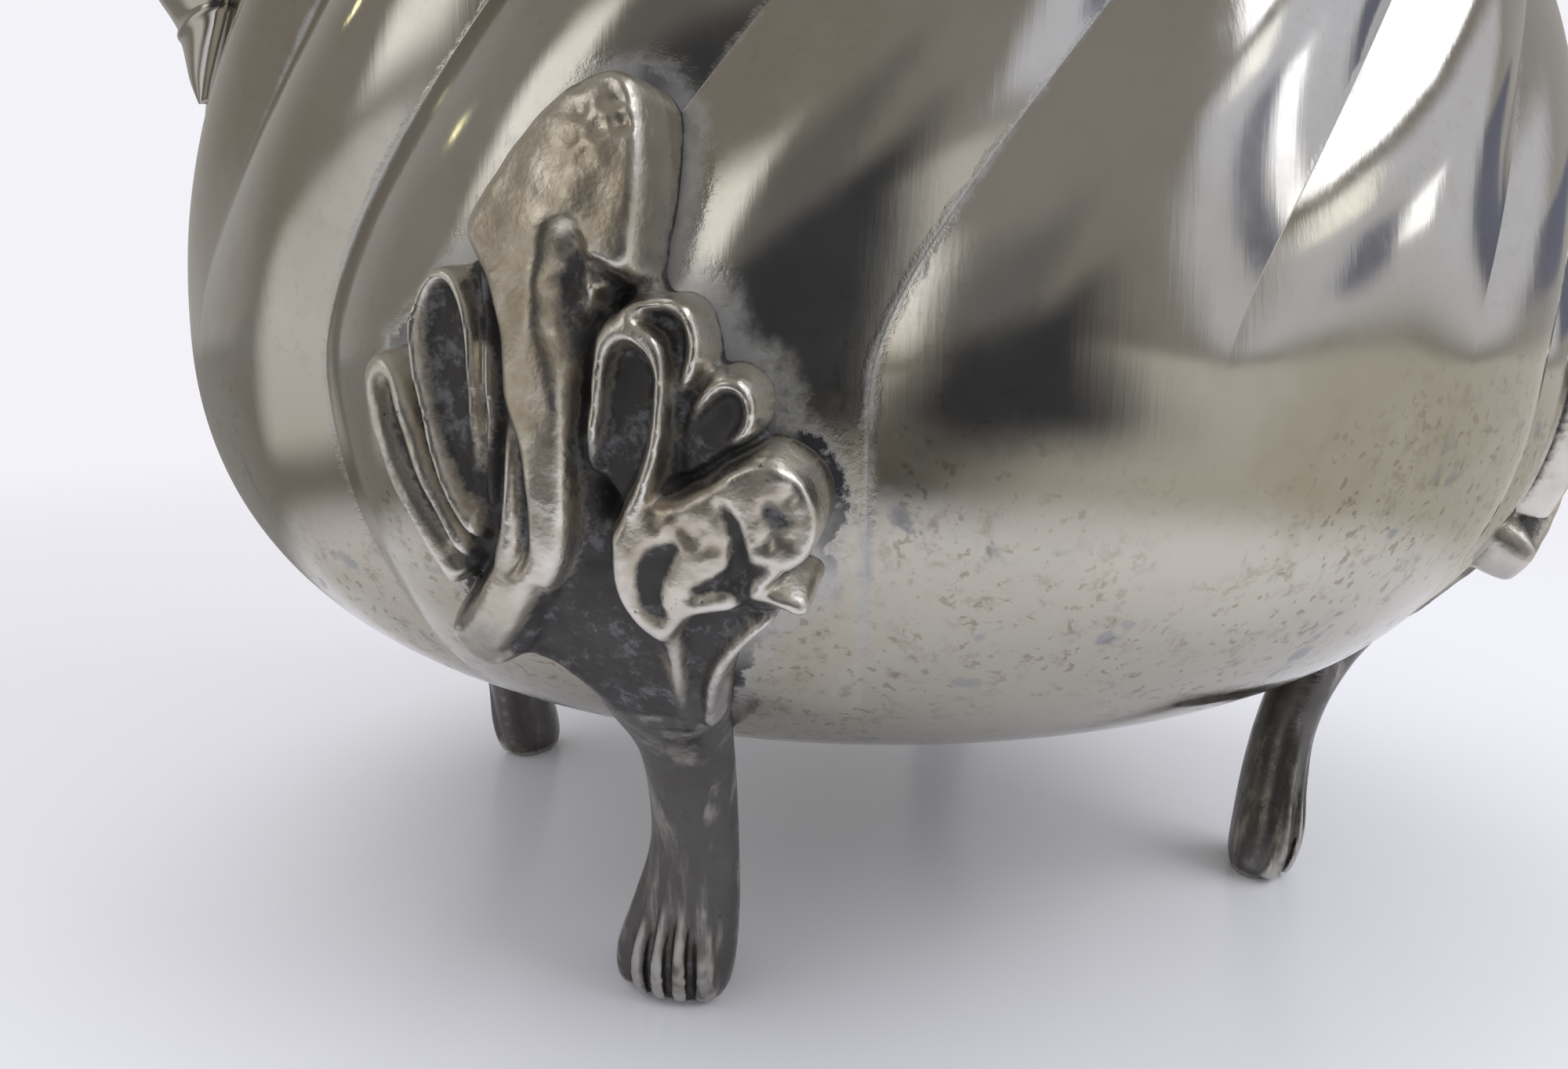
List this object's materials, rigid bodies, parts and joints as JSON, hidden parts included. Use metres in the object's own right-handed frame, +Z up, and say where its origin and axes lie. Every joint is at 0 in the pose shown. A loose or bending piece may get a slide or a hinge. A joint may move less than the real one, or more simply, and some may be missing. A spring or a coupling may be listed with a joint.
{
  "type": "coffee pot",
  "caption": "Silver coffee pot with a swirl-fluted pear body on cast leaf-and-paw feet, swan-neck spout, wooden scroll handle and hinged domed lid.",
  "frame": {"origin": "on the pot's axis at table height", "axes": "+Z up along the pot's axis, +X towards the handle, -X towards the spout"},
  "size_m": [0.2009, 0.1196, 0.2423],
  "materials": {
    "silver": "polished silver, worn and lightly tarnished",
    "cast_silver": "cast silver, polished on its ridges and dark with oxide in its hollows",
    "fittings": "plain silver",
    "wood": "dark stained hardwood, satin"
  },
  "bodies": {
    "pot": {"body_shell": "silver", "base_disc": "silver", "spout": "silver", "spout_lip": "silver", "spout_drop": "silver", "mouth_rim": "silver", "upper_socket": "silver", "lower_socket": "silver", "hinge_body_leaf": "silver", "foot_spout_front": "cast_silver", "foot_spout_back": "cast_silver", "foot_handle_front": "cast_silver", "foot_handle_back": "cast_silver", "hinge_pin": "fittings", "upper_handle_pin": "fittings", "lower_handle_pin": "fittings", "handle_grip": "wood"},
    "lid": {"lid_dome": "silver", "lid_rim": "silver", "lid_bezel": "silver", "hinge_lid_leaf": "silver", "finial_calyx": "cast_silver", "finial_bud": "cast_silver", "finial_screw": "fittings", "finial_washer": "fittings", "finial_nut": "fittings"}
  },
  "joints": [
    {"name": "lid_hinge", "type": "hinge", "parent": "pot", "child": "lid", "pos_m": [0.0398, 0, 0.1861], "axis": [0, 1, 0], "range_deg": [0, 95]}
  ]
}
